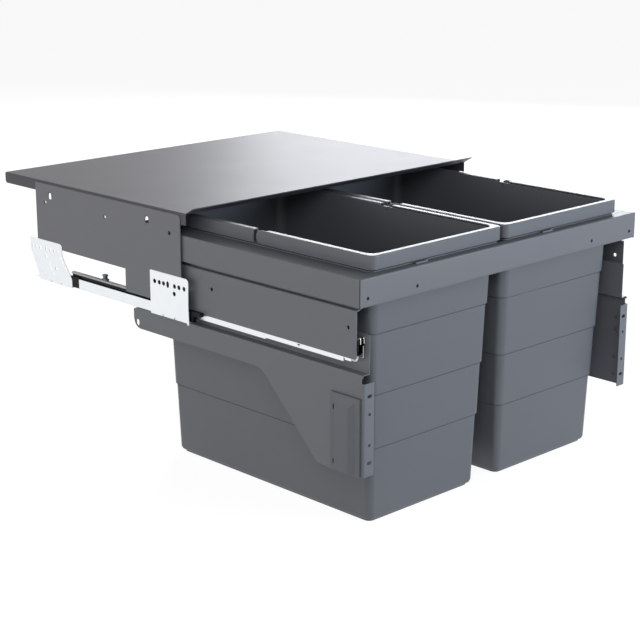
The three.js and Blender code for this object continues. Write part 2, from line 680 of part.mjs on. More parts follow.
/** Door bracket: inner plate, step under the runner, outer plate with an arm, and a front flange. */
function makeDoorBracket() {
  const d = DOOR_BRACKET;
  const mid = SHEET / 2;
  const { front, face, step, innerTop } = bracket;
  const [inner, outer] = [bracket.inner - mid, face - mid];
  const [rear, plateFront, plateBottom, armBottom] = [front + d.length, front + d.plateSetback, step - d.height, step - d.armHeight];
  const section = sheetOutline([[inner, innerTop], [inner, step - mid], [outer, step - mid], [outer, plateBottom]]);
  const edge = outline([
    [plateFront, plateBottom], [front + d.slopeBottom, plateBottom, 10], [front + d.slopeTop, armBottom, 22],
    [rear, armBottom, 14], [rear, step - SHEET - 2, 2], [rear - 8, step], [front + d.innerLength, step],
    [front + d.innerLength, innerTop, 4], [front + d.innerSetback, innerTop, 1], [front + d.innerSetback, step - 4], [plateFront, step - 4],
  ]);
  const body = prism('y', zx(section), front, rear).intersect(prism('x', edge, inner - 2, face + 1));
  const turn = sheetOutline([[outer, plateFront + 2], [outer, front + mid], [face - d.flangeWidth, front + mid]]);
  const flange = prism('z', turn, plateBottom + 1.9, step - d.flangeGap);
  const holeX = face - d.holeInset;
  const through = [front - 1, front + SHEET + 1];
  const access = [[19, 34.7, 2.4], [19.6, 52.6, 3.4], [19.6, 94.2, 3.4], [19, 119.9, 2.4]];
  return cutAll(body.add(flange), [
    ...d.holeDepths.map((depth) => drillY(holeX, step - depth, 2, ...through)),
    ...d.slotDepths.map((depth) => prism('y', zx(slot(holeX, step - depth, 8, 4.4)), ...through)),
    prism('x', slot(rear - 8.5, step - 21.7, 9.2, 6.4, true), face - 3, face + 1),
    ...access.map(([back, depth, radius]) => prism('x', circle(front + back, step - depth, radius), face - 3, face + 1)),
  ]);
}

/** Clip-on cap over the front adjuster: a base plate with a bevelled block on it and two clip slots. */
function makeCap() {
  const c = CAP;
  const { face } = bracket;
  const [front, rear] = [bracket.front + c.setback, bracket.front + c.setback + c.width];
  const top = bracket.step - c.drop;
  const bottom = top - c.height;
  const plate = prism('x', outline([[front, bottom, 1.5], [rear, bottom, 1.5], [rear, top, 1.5], [front, top, 1.5]], 2), face, face + c.base);
  const [y0, y1, z0, z1] = [front + c.frontMargin, rear - c.rearMargin, bottom + c.bottomMargin, top - c.topMargin];
  const low = [[y0, z0], [y1, z0], [y1, z1], [y0, z1]];
  const high = [[y0 + c.frontBevel, z0 + 0.8], [y1 - 0.4, z0 + 0.8], [y1 - 0.4, z1 - c.topBevel], [y0 + c.frontBevel, z1 - c.topBevel]];
  const rings = [[low, face + c.base - 0.5], [high, face + c.base + c.raise]]
    .map(([points, x]) => points.map(([y, z]) => new THREE.Vector3(x, y, z)));
  const slots = c.slotDepths.map((depth) => block(
    [face - 1, rear - c.slotInset - c.slotWidth / 2, top - depth - c.slotHeight / 2],
    [face + c.base + 1, rear - c.slotInset + c.slotWidth / 2, top - depth + c.slotHeight / 2]));
  return cutAll(plate.add(loft(rings)), slots);
}

/** Front catch of the runner: a plastic hook that locks the drawer to the moving rail. */
function makeRailCatch() {
  const [front, rear] = [frame.front + CATCH.front, frame.front + RUNNER.frontGap - RUN_GAP];
  const { top, shoulder, bottom, throat, wall } = CATCH;
  const shape = outline([[front, top, 2], [front, bottom + 8, 6], [front + 7, bottom, 4], [rear, bottom],
    [rear, shoulder - 5], [rear - 5, shoulder], [rear - 5, top, 2]]);
  const pocket = block([railInner + wall, front - 1, bottom + 5], [railOuter - wall, front + throat, shoulder]);
  const notch = block([railMid - 1, front - 1, shoulder - 0.5], [railMid + 1, front + throat, top + 1]);
  return cutAll(prism('x', shape, railInner, railOuter), [pocket, notch]);
}

// ---------------------------------------------------------------- bins and bails

/** How far the outer wall of a bin has drawn in at a height, from draft and tier steps. */
function drawnIn(z) {
  return BIN.draft * Math.max(0, FRAME.top - z) + BIN.step * bin.tiers.filter((tier) => z < tier).length;
}

/** Ring round a bin at an offset from the top of its outer wall; the rim has tighter corners than the wall. */
function binRing(offset, z) {
  const radius = offset > 1 ? BIN.rimRadius - (BIN.rimOut - offset) : BIN.cornerRadius + offset * 0.3;
  return ring(bin.halfWidth + offset, BIN.halfDepth + offset, radius, z, [bin.centre, BIN.centreY]);
}

/** Heights where a tiered wall changes, from the bottom up. */
const tierHeights = () => bin.tiers.flatMap((tier) => [tier, tier - BIN.stepHeight]).sort((a, b) => a - b);

/** Moulded bin: foot, four tiers, ledge that stands on the frame, and an overhanging rim. */
function makeBin() {
  const floor = bin.bottom + BIN.footHeight;
  const outer = [
    binRing(-drawnIn(floor) - BIN.footInset, bin.bottom), binRing(-drawnIn(floor) - BIN.footInset, floor),
    binRing(-drawnIn(floor) - 0.3 * BIN.heel, floor + 0.3 * BIN.heel),
    binRing(-drawnIn(floor), floor + BIN.heel),
    ...tierHeights().map((z) => binRing(-drawnIn(z + 0.01), z)),
  ];
  const under = bin.rimTop - BIN.rimWall;
  const skirt = bin.rimTop - BIN.rimDrop;
  const ledge = FRAME.top + BIN.ledge;
  const rim = [
    binRing(0, FRAME.top), binRing(BIN.ledgeOut, FRAME.top), binRing(BIN.ledgeOut, ledge), binRing(0, ledge),
    binRing(0, under), binRing(BIN.rimOut - BIN.rimWall, under), binRing(BIN.rimOut - BIN.rimWall, skirt), binRing(BIN.rimOut, skirt),
    binRing(BIN.rimOut, bin.rimTop - 1.2), binRing(BIN.rimOut - 1.2, bin.rimTop),
    binRing(-BIN.wall + 0.6, bin.rimTop), binRing(-BIN.wall, bin.rimTop - 0.6),
  ];
  const inner = [
    ...tierHeights().reverse().map((z) => binRing(-drawnIn(z + 0.01) - BIN.wall, z + 1)),
    binRing(-drawnIn(floor) - BIN.wall, floor + 6), binRing(-drawnIn(floor) - BIN.wall - 4, floor + 2.4),
  ];
  return cutAll(loft([...outer, ...rim, ...inner]), [bailRoom(), pivotPins(BAIL.pinRadius + BAIL.pinGap, 4)]);
}

/** Space that the front half of a rim leaves for the bail. */
function bailRoom() {
  const reach = BIN.rimOut + 1.5;
  const [x0, x1] = [bin.centre - bin.halfWidth - reach, bin.centre + bin.halfWidth + reach];
  const [y0, y1] = [BIN.centreY - BIN.halfDepth - reach, pivot.y + BIN.rimDrop / 2 + BAIL.endGap];
  const low = bin.rimTop - BIN.rimDrop - 0.7;
  const skirtRoom = block([x0, y0, low], [x1, y1, bin.rimTop + 1]).subtract(
    loft([binRing(0.25, low - 1), binRing(0.25, bin.rimTop + 2)]));
  return skirtRoom.add(block([x0, y0, bin.rimTop - BAIL.wallDrop], [x1, y1, bin.rimTop + 1]));
}

/** The two pivot pins of a bail, or the holes for them when given a larger radius. */
function pivotPins(radius, reach) {
  const [left, right] = [-1, 1].map((side) => {
    const ends = [side * (bin.halfWidth - reach), side * (bin.halfWidth + BIN.rimOut - BIN.rimWall + 0.5)].sort((a, b) => a - b);
    return prism('x', circle(pivot.y, pivot.z, radius), bin.centre + ends[0], bin.centre + ends[1]);
  });
  return left.add(right);
}

/** Carrying bail: the front half of the rim as a bow that pivots on two pins at the sides of the bin. */
function makeBail() {
  const [top, skirt] = [bin.rimTop, bin.rimTop - BIN.rimDrop];
  const inside = BIN.rimOut - BIN.rimWall;
  const bow = loft([
    binRing(BIN.rimOut, skirt), binRing(BIN.rimOut, top - 1.2), binRing(BIN.rimOut - 1.2, top), binRing(-BIN.wall + 0.6, top),
    binRing(-BIN.wall, top - 0.6), binRing(-BIN.wall, top - BIN.rimWall), binRing(inside, top - BIN.rimWall), binRing(inside, skirt),
  ], true);
  const reach = bin.halfWidth + BIN.rimOut + 2;
  const front = BIN.centreY - BIN.halfDepth - BIN.rimOut - 2;
  const arm = [new THREE.Vector2(front, skirt - 1), new THREE.Vector2(pivot.y, skirt - 1),
    ...halfCircle(pivot.y, pivot.z, BIN.rimDrop / 2, -Math.PI / 2, 10),
    new THREE.Vector2(pivot.y, top + 1), new THREE.Vector2(front, top + 1)];
  const web = block([bin.centre - bin.halfWidth - inside, pivot.y - BAIL.webStart, skirt - 1],
    [bin.centre + bin.halfWidth + inside, pivot.y + 20, top + 1]);
  return bow.intersect(prism('x', arm, bin.centre - reach, bin.centre + reach)).subtract(web).add(pivotPins(BAIL.pinRadius, 1.6));
}

// ---------------------------------------------------------------- assembly

const model = new THREE.Group();
model.position.set(0, 0, -bin.bottom);

/** Adds one named piece. */
function addPart(name, solid, look, mirrored = false) {
  const mesh = new THREE.Mesh(toGeometry(solid, mirrored), new THREE.MeshStandardMaterial(look));
  mesh.name = name;
  model.add(mesh);
}

/** Adds a right-hand piece and its mirror image. */
function addPair(name, solid, look) {
  addPart(`${name}_right`, solid, look);
  addPart(`${name}_left`, solid, look, true);
}

addPart('cover', makeCover(), finish.powderCoat);
addPair('side_plate', makeSidePlate(), finish.powderCoat);
addPair('front_bracket', makeFrontBracket(), finish.zinc);
addPair('rear_bracket', makeRearBracket(), finish.zinc);
addPair('fixed_rail', makeFixedRail(), finish.zinc);
addPair('soft_close_housing', makeDamper(), finish.blackPlastic);
addPair('soft_close_lid', makeDamperLid(), finish.greyPlastic);
addPair('soft_close_trigger', makeTrigger(), finish.greyPlastic);
addPair('rail_mouth', makeRailMouth(), finish.blackPlastic);

const runMiddle = RUNNER.fixedFront + RUNNER.fixedLength / 2;
addPair('lower_roller_cage', makeCage(runMiddle - RUNNER.travel / 4, lowerCageTop, RUNNER.guideWidth), finish.blackPlastic);
addPair('middle_rail', makeMiddleRail(), finish.zinc);
addPair('upper_roller_cage', makeCage(runMiddle - (RUNNER.travel * 3) / 4, upperCageTop, RUNNER.middleWidth), finish.blackPlastic);
addPair('moving_rail', makeMovingRail(), finish.zinc);

addPart('front_panel', makeFrontPanel(), finish.powderCoat);
addPart('rear_frame_rail', makeRearRail(), finish.powderCoat);
addPair('frame_side', makeFrameSide(), finish.powderCoat);
addPair('runner_side', makeRunnerSide(), finish.powderCoat);
addPair('door_bracket', makeDoorBracket(), finish.powderCoat);
addPair('adjuster_cap', makeCap(), finish.greyPlastic);
addPair('rail_catch', makeRailCatch(), finish.blackPlastic);
addPair('bin', makeBin(), finish.binPlastic);
addPair('bail', makeBail(), finish.bailPlastic);

export default model;
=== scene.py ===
"""Pull-out waste unit for a kitchen base cabinet, drawn out for a studio picture.

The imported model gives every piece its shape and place. This script rounds the edges of
each piece, cuts the few details the model leaves out (a window, clearance holes and the
lines between the tiers of a bin), gives each piece the finish it is made in, bends the
small wire parts, and sets up the floor, the soft boxes and the camera. A name that ends
in ``_mm`` holds millimetres; every other length is in metres.
"""

from __future__ import annotations

import json
import logging
import math
from collections.abc import Callable
from dataclasses import dataclass
from enum import Enum
from itertools import pairwise

import bpy
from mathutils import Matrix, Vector

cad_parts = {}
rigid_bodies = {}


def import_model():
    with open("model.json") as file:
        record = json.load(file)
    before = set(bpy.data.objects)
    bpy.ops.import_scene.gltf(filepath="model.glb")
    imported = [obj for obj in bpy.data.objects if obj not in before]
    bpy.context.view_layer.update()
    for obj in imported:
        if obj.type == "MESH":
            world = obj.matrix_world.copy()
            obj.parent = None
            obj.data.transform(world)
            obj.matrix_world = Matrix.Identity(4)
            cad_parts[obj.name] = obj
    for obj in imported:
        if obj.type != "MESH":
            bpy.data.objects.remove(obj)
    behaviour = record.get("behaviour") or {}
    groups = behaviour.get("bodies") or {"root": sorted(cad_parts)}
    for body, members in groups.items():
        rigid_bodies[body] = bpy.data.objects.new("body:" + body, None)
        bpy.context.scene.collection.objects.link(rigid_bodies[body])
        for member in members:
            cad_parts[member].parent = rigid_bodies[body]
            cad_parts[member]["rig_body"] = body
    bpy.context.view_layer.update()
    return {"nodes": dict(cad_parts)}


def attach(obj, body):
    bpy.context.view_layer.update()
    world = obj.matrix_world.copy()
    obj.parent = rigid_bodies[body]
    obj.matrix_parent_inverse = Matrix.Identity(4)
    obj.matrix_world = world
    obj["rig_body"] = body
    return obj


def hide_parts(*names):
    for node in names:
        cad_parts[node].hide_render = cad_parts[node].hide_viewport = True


logging.basicConfig(level=logging.INFO, format="%(levelname)s %(message)s")
log = logging.getLogger("waste_unit")

MM = 0.001
PICTURE_PX = 640

# Points of a mesh that lie closer than this are one point.
MERGE_MM = 0.002
# Triangles that bend by less than this lie in one face, whatever shape the face gets.
FLAT_DEGREES = 0.6
ANY_SHAPE_DEGREES = 180.0

# The sRGB curve: a straight foot, and above it a shifted power.
SRGB_FOOT_END = 0.04045
SRGB_FOOT_SLOPE = 12.92
SRGB_SHIFT = 0.055
SRGB_POWER = 2.4


class Side(Enum):
    """Half of the unit that a piece belongs to, valued by the sign of its X."""

    LEFT = -1
    RIGHT = 1

    @property
    def tag(self) -> str:
        """Ending of the names of this side's pieces."""
        return self.name.lower()


class Slot(Enum):
    """Material slots of the record."""

    POWDER_COAT = "powder_coat"
    ZINC = "zinc"
    BIN = "bin_plastic"
    BAIL = "bail_plastic"
    CAP = "cap_plastic"
    BLACK = "black_plastic"


# ---------------------------------------------------------------- node helpers


def linear(hex_colour: str) -> tuple[float, float, float, float]:
    """Turns an sRGB hex colour into the linear values that a shader takes.

    Args:
        hex_colour: Six hex digits after a hash sign.

    Returns:
        Linear red, green and blue, and an alpha of one.
    """
    channels = [int(hex_colour[i : i + 2], 16) / 255 for i in (1, 3, 5)]
    red, green, blue = (
        c / SRGB_FOOT_SLOPE
        if c <= SRGB_FOOT_END
        else ((c + SRGB_SHIFT) / (1.0 + SRGB_SHIFT)) ** SRGB_POWER
        for c in channels
    )
    return red, green, blue, 1.0


def add_node(
    tree: bpy.types.NodeTree,
    kind: str,
    settings: dict[str | int, object] | None = None,
    links: dict[str | int, bpy.types.NodeSocket] | None = None,
) -> bpy.types.Node:
    """Adds one node with its settings and incoming links.

    Args:
        tree: The node tree that takes the node.
        kind: The node's Blender type name.
        settings: Values for input sockets, or for properties where no socket has the name.
        links: Input socket name or number, and the output socket that feeds it.

    Returns:
        The new node.
    """
    node = tree.nodes.new(kind)
    for name, value in (settings or {}).items():
        if isinstance(name, int) or name in node.inputs:
            node.inputs[name].default_value = value
        else:
            setattr(node, name, value)
    for name, socket in (links or {}).items():
        tree.links.new(socket, node.inputs[name])
    return node


def per_mm(size_mm: float) -> float:
    """Pattern scale, per metre, whose features are about this many millimetres apart."""
    return 1.0 / (size_mm * MM)


# ---------------------------------------------------------------- finishes


@dataclass(frozen=True)
class Finish:
    """A finish: its colour and slow drift in tone, its gloss, and its fine surface."""

    name: str
    colour: str
    drift_colour: str
    roughness: float
    roughness_drift: float
    texture_mm: float
    texture_height_mm: float
    drift_mm: float = 90.0
    metallic: float = 0.0
    specular: float = 0.5

    def build(self) -> bpy.types.Material:
        """Makes the material.

        Returns:
            The finished Blender material.
        """
        material = bpy.data.materials.new(self.name)
        material.use_nodes = True
        tree = material.node_tree
        tree.nodes.clear()
        place = add_node(tree, "ShaderNodeTexCoord").outputs["Object"]
        drift = add_node(
            tree,
            "ShaderNodeTexNoise",
            {"Scale": per_mm(self.drift_mm), "Detail": 3.0, "Roughness": 0.55},
            {"Vector": place},
        ).outputs["Fac"]
        tone = add_node(
            tree,
            "ShaderNodeMix",
            {"data_type": "RGBA", 6: linear(self.colour), 7: linear(self.drift_colour)},
            {0: drift},
        ).outputs[2]
        rough = add_node(
            tree,
            "ShaderNodeMapRange",
            {
                "To Min": self.roughness - self.roughness_drift,
                "To Max": self.roughness + self.roughness_drift,
            },
            {"Value": drift},
        ).outputs["Result"]
        bump = add_node(
            tree,
            "ShaderNodeBump",
            {"Strength": 1.0, "Distance": self.texture_height_mm * MM},
            {"Height": self.surface(tree, place)},
        ).outputs["Normal"]
        shader = add_node(
            tree,
            "ShaderNodeBsdfPrincipled",
            {"Metallic": self.metallic, "Specular IOR Level": self.specular},
            {"Base Color": tone, "Roughness": rough, "Normal": bump},
        ).outputs["BSDF"]
        add_node(tree, "ShaderNodeOutputMaterial", links={"Surface": shader})
        return material

    def surface(
        self, tree: bpy.types.NodeTree, place: bpy.types.NodeSocket
    ) -> bpy.types.NodeSocket:
        """Height of a smooth moulded or polished surface: faint, slow unevenness.

        Args:
            tree: The material's node tree.
            place: Object coordinates.

        Returns:
            A socket with heights from zero to one.
        """
        noise = add_node(
            tree,
            "ShaderNodeTexNoise",
            {"Scale": per_mm(self.texture_mm), "Detail": 1.0},
            {"Vector": place},
        )
        return noise.outputs["Fac"]


@dataclass(frozen=True)
class PowderCoat(Finish):
    """Cured powder: orange peel with a finer speckle on top of it."""

    speckle_mm: float = 0.7
    speckle_share: float = 0.3

    def surface(
        self, tree: bpy.types.NodeTree, place: bpy.types.NodeSocket
    ) -> bpy.types.NodeSocket:
        """Orange peel and speckle, mixed.

        Args:
            tree: The material's node tree.
            place: Object coordinates.

        Returns:
            A socket with heights from zero to one.
        """
        peel, speckle = (
            add_node(
                tree,
                "ShaderNodeTexNoise",
                {"Scale": per_mm(size_mm), "Detail": 1.5, "Roughness": 0.5},
                {"Vector": place},
            ).outputs["Fac"]
            for size_mm in (self.texture_mm, self.speckle_mm)
        )
        mixed = add_node(
            tree, "ShaderNodeMix", {0: self.speckle_share}, {2: peel, 3: speckle}
        )
        return mixed.outputs[0]


@dataclass(frozen=True)
class SparkGrain(Finish):
    """A moulded surface whose steel mould was spark-eroded: tiny, even pits."""

    def surface(
        self, tree: bpy.types.NodeTree, place: bpy.types.NodeSocket
    ) -> bpy.types.NodeSocket:
        """Pits with a soft edge.

        Args:
            tree: The material's node tree.
            place: Object coordinates.

        Returns:
            A socket with heights.
        """
        cells = add_node(
            tree,
            "ShaderNodeTexVoronoi",
            {"feature": "SMOOTH_F1", "Scale": per_mm(self.texture_mm), "Smoothness": 0.6},
            {"Vector": place},
        )
        return cells.outputs["Distance"]


@dataclass(frozen=True)
class RolledPlate(Finish):
    """Plated strip: the rolling mill leaves fine lines along the strip, here along Y."""

    line_stretch: float = 0.04

    def surface(
        self, tree: bpy.types.NodeTree, place: bpy.types.NodeSocket
    ) -> bpy.types.NodeSocket:
        """Lines along the strip.

        Args:
            tree: The material's node tree.
            place: Object coordinates.

        Returns:
            A socket with heights from zero to one.
        """
        stretched = add_node(
            tree,
            "ShaderNodeMapping",
            {"Scale": (1.0, self.line_stretch, 1.0)},
            {"Vector": place},
        ).outputs["Vector"]
        lines = add_node(
            tree,
            "ShaderNodeTexNoise",
            {"Scale": per_mm(self.texture_mm), "Detail": 2.0},
            {"Vector": stretched},
        )
        return lines.outputs["Fac"]


class Finishes:
    """Every finish on the unit, by what the piece is made of."""

    def __init__(self) -> None:
        """Builds the materials once."""
        # Epoxy-polyester powder on steel sheet, satin: cured powder leaves a shallow
        # orange peel about 1.5 mm across, drawn at 2 mm so that it shows.
        self.powder_coat = PowderCoat(
            name="epoxy_powder_coat",
            colour="#67696E",
            drift_colour="#64666B",
            roughness=0.42,
            roughness_drift=0.03,
            texture_mm=2.0,
            texture_height_mm=0.012,
        ).build()
        # The same powder on the side plates, a little duller. Its colour is a shade lighter
        # than on the frame as painted light, so the plates read brighter.
        self.plate_coat = PowderCoat(
            name="light_powder_coat",
            colour="#6D6E72",
            drift_colour="#6A6B6F",
            roughness=0.45,
            roughness_drift=0.03,
            texture_mm=2.0,
            texture_height_mm=0.012,
        ).build()
        # The cover's powder, levelled out, with a flatter and wider peel. Its colour is
        # darker than the frame's as painted shade, so the top, which takes more light, reads
        # dark.
        self.cover_coat = PowderCoat(
            name="level_powder_coat",
            colour="#4D4C53",
            drift_colour="#4B4A50",
            roughness=0.42,
            roughness_drift=0.02,
            texture_mm=3.0,
            texture_height_mm=0.006,
            specular=0.3,
        ).build()
        # Bright zinc plating on rolled strip: almost white, a little cloudy from the bath.
        self.zinc = RolledPlate(
            name="bright_zinc_plate",
            colour="#F6F8FA",
            drift_colour="#EBEFF3",
            roughness=0.3,
            roughness_drift=0.05,
            texture_mm=0.8,
            texture_height_mm=0.006,
            drift_mm=22.0,
            metallic=0.8,
        ).build()
        # Spring steel with nickel plating: drawn smooth, so it mirrors the room sharply.
        self.nickel = Finish(
            name="nickel_plated_spring_steel",
            colour="#E2E2E0",
            drift_colour="#D2D3D2",
            roughness=0.16,
            roughness_drift=0.04,
            texture_mm=3.0,
            texture_height_mm=0.004,
            drift_mm=12.0,
            metallic=1.0,
        ).build()
        # Moulded polypropylene with a spark-eroded grain of about 0.8 mm, drawn at 1 mm.
        self.bin_plastic = SparkGrain(
            name="grained_polypropylene",
            colour="#5D6065",
            drift_colour="#5A5D62",
            roughness=0.38,
            roughness_drift=0.03,
            texture_mm=1.0,
            texture_height_mm=0.04,
        ).build()
        # The bails come from a polished mould, so their edges catch the light.
        self.bail_plastic = Finish(
            name="polished_polypropylene",
            colour="#606469",
            drift_colour="#5D6066",
            roughness=0.36,
            roughness_drift=0.03,
            texture_mm=4.0,
            texture_height_mm=0.008,
        ).build()
        # Caps and triggers in ABS with a finer grain than the bins.
        self.cap_plastic = SparkGrain(
            name="fine_grain_abs",
            colour="#5C5F65",
            drift_colour="#595C62",
            roughness=0.42,
            roughness_drift=0.03,
            texture_mm=0.8,
            texture_height_mm=0.02,
        ).build()
        # Natural grey acetal of the soft close's lid, rubbed a little shiny along its length.
        self.pale_plastic = Finish(
            name="pale_grey_acetal",
            colour="#B4B6B9",
            drift_colour="#ACAEB2",
            roughness=0.4,
            roughness_drift=0.06,
            texture_mm=1.5,
            texture_height_mm=0.008,
            drift_mm=25.0,
        ).build()
        # Black acetal: a slightly waxy sheen.
        self.black_plastic = Finish(
            name="black_acetal",
            colour="#060708",
            drift_colour="#0A0B0C",
            roughness=0.4,
            roughness_drift=0.05,
            texture_mm=1.2,
            texture_height_mm=0.006,
            specular=0.15,
        ).build()


# ---------------------------------------------------------------- shaping helpers


def deselect_all() -> None:
    """Leaves object mode with nothing selected."""
    if bpy.context.object and bpy.context.object.mode != "OBJECT":
        bpy.ops.object.mode_set(mode="OBJECT")
    bpy.ops.object.select_all(action="DESELECT")


def take(obj: bpy.types.Object) -> None:
    """Makes an object the only selected one.

    Args:
        obj: The object to work on.
    """
    deselect_all()
    obj.select_set(True)
    bpy.context.view_layer.objects.active = obj


def apply_modifiers(obj: bpy.types.Object) -> None:
    """Applies every modifier of an object in order.

    Args:
        obj: The object to work on.
    """
    take(obj)
    for name in [m.name for m in obj.modifiers]:
        bpy.ops.object.modifier_apply(modifier=name)


def side_of(piece: bpy.types.Object) -> float:
    """Sign of the X that a side piece lies at."""
    return math.copysign(1.0, piece.data.vertices[0].co.x)


def punch_out(piece: bpy.types.Object, punch: bpy.types.Object) -> None:
    """Cuts a punch's shape out of a piece and leaves the piece in edit mode.

    Args:
        piece: The piece to cut, in object mode.
        punch: A closed solid, which is used up.
    """
    take(punch)
    bpy.ops.object.transform_apply(location=True, rotation=True, scale=True)
    cut = piece.modifiers.new("punched", "BOOLEAN")
    cut.operation, cut.solver, cut.object = "DIFFERENCE", "EXACT", punch
    apply_modifiers(piece)
    bpy.data.objects.remove(punch)
    bpy.ops.object.mode_set(mode="EDIT")


@dataclass(frozen=True)
class Span:
    """An edge of a face between the face's edges before and after it.

    The three edges are named by their points. The corners are the face's angles at the
    two ends of the middle edge, in radians.
    """

    edges: tuple[frozenset[int], frozenset[int], frozenset[int]]
    lengths: tuple[float, float, float]
    corners: tuple[float, float]

    def room(self, rounded: set[frozenset[int]]) -> float:
        """Width of rounding at which the face would run out of room along this edge.

        Two or three rounded edges meet once they have eaten up the middle edge. A
        rounded middle edge also stops where an unrounded neighbour ends.

        Args:
            rounded: The edges that are to be rounded.

        Returns:
            The width, or infinity where the edges don't get in each other's way.
        """
        before, here, after = (float(edge in rounded) for edge in self.edges)
        sines = [math.sin(corner) for corner in self.corners]
        slopes = [math.tan(corner) for corner in self.corners]
        limits = [math.inf]
        if before + here + after > 1.0:
            slope, sine = math.prod(slopes), math.prod(sines)
            spread = slope * (before * sines[1] + after * sines[0])
            spread += here * sine * sum(slopes)
            if spread:
                limits.append(self.lengths[1] * slope * sine / spread)
        if here and not before:
            limits.append(self.lengths[0] * sines[0])
        if here and not after:
            limits.append(self.lengths[2] * sines[1])
        return min(limit for limit in limits if limit >= 0.0)


def spans_of(mesh: bpy.types.Mesh) -> list[Span]:
    """Lists every edge of every face, with its neighbours in that face.

    Args:
        mesh: The mesh to read.

    Returns:
        One span for each side of each face.
    """
    spans = []
    for face in mesh.polygons:
        ring = list(face.vertices)
        for i in range(len(ring)):
            ids = [ring[(i + step) % len(ring)] for step in range(4)]
            points = [mesh.vertices[j].co for j in ids]
            sides = [end - start for start, end in pairwise(points)]
            spans.append(
                Span(
                    edges=tuple(frozenset(ends) for ends in pairwise(ids)),
                    lengths=tuple(side.length for side in sides),
                    corners=tuple(math.pi - a.angle(b, 0.0) for a, b in pairwise(sides)),
                )
            )
    return spans


@dataclass(frozen=True)
class EdgeBreak:
    """How the edges of a piece are broken: width, steps and the angles that count."""

    width_mm: float
    steps: int = 2
    from_degrees: float = 35.0
    smooth_degrees: float = 32.0

    def mark(self, mesh: bpy.types.Mesh) -> None:
        """Gives bevel weight to the sharp edges that have room for the full width.

        Blender narrows every rounding of a piece to what its tightest spot allows, so
        the edges at a tight spot are left sharp instead.

        Args:
            mesh: The piece's mesh.
        """
        normals: dict[frozenset[int], list[Vector]] = {}
        for face in mesh.polygons:
            for key in face.edge_keys:
                normals.setdefault(frozenset(key), []).append(face.normal)
        least = math.radians(self.from_degrees)
        rounded = {
            edge
            for edge, sides in normals.items()
            if len(sides) == 2 and sides[0].angle(sides[1], 0.0) > least
        }
        spans, last_count = spans_of(mesh), None
        while len(rounded) != last_count:
            last_count = len(rounded)
            for span in spans:
                if span.room(rounded) < self.width_mm * MM:
                    rounded.difference_update(span.edges)
        weights = mesh.attributes.new("bevel_weight_edge", "FLOAT", "EDGE").data
        for edge in mesh.edges:
            weights[edge.index].value = float(frozenset(edge.vertices) in rounded)

    def round(self, piece: bpy.types.Object) -> None:
        """Rounds the edges, keeps flat faces flat in the light, and applies it all.

        Args:
            piece: A mesh object with merged vertices.
        """
        self.mark(piece.data)
        bevel = piece.modifiers.new("edge", "BEVEL")
        bevel.width = self.width_mm * MM
        bevel.segments = self.steps
        bevel.limit_method = "WEIGHT"
        bevel.use_clamp_overlap = True
        apply_modifiers(piece)
        bpy.ops.object.shade_smooth_by_angle(angle=math.radians(self.smooth_degrees))
        weigh = piece.modifiers.new("flat faces first", "WEIGHTED_NORMAL")
        weigh.keep_sharp = True
        apply_modifiers(piece)


SHEET_EDGE = EdgeBreak(width_mm=0.3)
THIN_EDGE = EdgeBreak(width_mm=0.15)
MOULDED_EDGE = EdgeBreak(width_mm=0.5, steps=3)


# ---------------------------------------------------------------- the unit


@dataclass
class SubAssembly:
    """A group of CAD pieces, which are dressed, and of the small parts they carry."""

    nodes: dict[str, bpy.types.Object]
    finishes: Finishes

    def dress(
        self,
        stem: str,
        material: bpy.types.Material,
        slot: Slot,
        edge: EdgeBreak,
        shape: Callable[[bpy.types.Object], None] | None = None,
    ) -> None:
        """Finishes the CAD piece of this name, or both pieces of a left and right pair.

        Args:
            stem: Name of the piece without its side.
            material: The finish.
            slot: The record's slot that the finish belongs to; not used.
            edge: The edge rounding.
            shape: Work on the merged mesh before its edges are rounded.
        """
        names = [stem, *(f"{stem}_{side.tag}" for side in Side)]
        for name in (n for n in names if n in self.nodes):
            node = self.nodes[name]
            piece = bpy.data.objects.new(f"{name}_finished", node.data.copy())
            bpy.context.scene.collection.objects.link(piece)
            take(piece)
            bpy.ops.object.mode_set(mode="EDIT")
            bpy.ops.mesh.select_mode(type="VERT")
            bpy.ops.mesh.select_all(action="SELECT")
            bpy.ops.mesh.customdata_custom_splitnormals_clear()
            bpy.ops.mesh.remove_doubles(threshold=MERGE_MM * MM)
            if shape:
                shape(piece)
            bpy.ops.mesh.select_all(action="SELECT")
            bpy.ops.mesh.tris_convert_to_quads(
                face_threshold=math.radians(FLAT_DEGREES),
                shape_threshold=math.radians(ANY_SHAPE_DEGREES),
            )
            bpy.ops.object.mode_set(mode="OBJECT")
            edge.round(piece)
            piece.data.materials.clear()
            piece.data.materials.append(material)
            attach(piece, node["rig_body"])
            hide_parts(name)
            log.info("%s: %s", piece.name, material.name)

    def build(self) -> None:
        """Dresses the pieces and adds the small parts."""
        raise NotImplementedError


@dataclass
class Housing(SubAssembly):
    """The fixed cover and its two side plates."""

    window_size_mm: tuple[float, float, float] = (8.0, 66.0, 24.0)
    window_at_mm: tuple[float, float, float] = (280.4, 39.5, 260.0)

    def build(self) -> None:
        """Dresses the cover and the plates."""
        finish = self.finishes
        self.dress("cover", finish.cover_coat, Slot.POWDER_COAT, SHEET_EDGE)
        self.dress(
            "side_plate", finish.plate_coat, Slot.POWDER_COAT, SHEET_EDGE, self.open_window
        )

    def open_window(self, plate: bpy.types.Object) -> None:
        """Cuts the window behind the wall bracket's screw holes, which look dark through it.

        Args:
            plate: A side plate in edit mode.
        """
        x, y, z = self.window_at_mm
        bpy.ops.object.mode_set(mode="OBJECT")
        deselect_all()
        bpy.ops.mesh.primitive_cube_add(
            size=1.0, location=(side_of(plate) * x * MM, y * MM, z * MM)
        )
        bpy.context.object.scale = Vector(self.window_size_mm) * MM
        punch_out(plate, bpy.context.object)


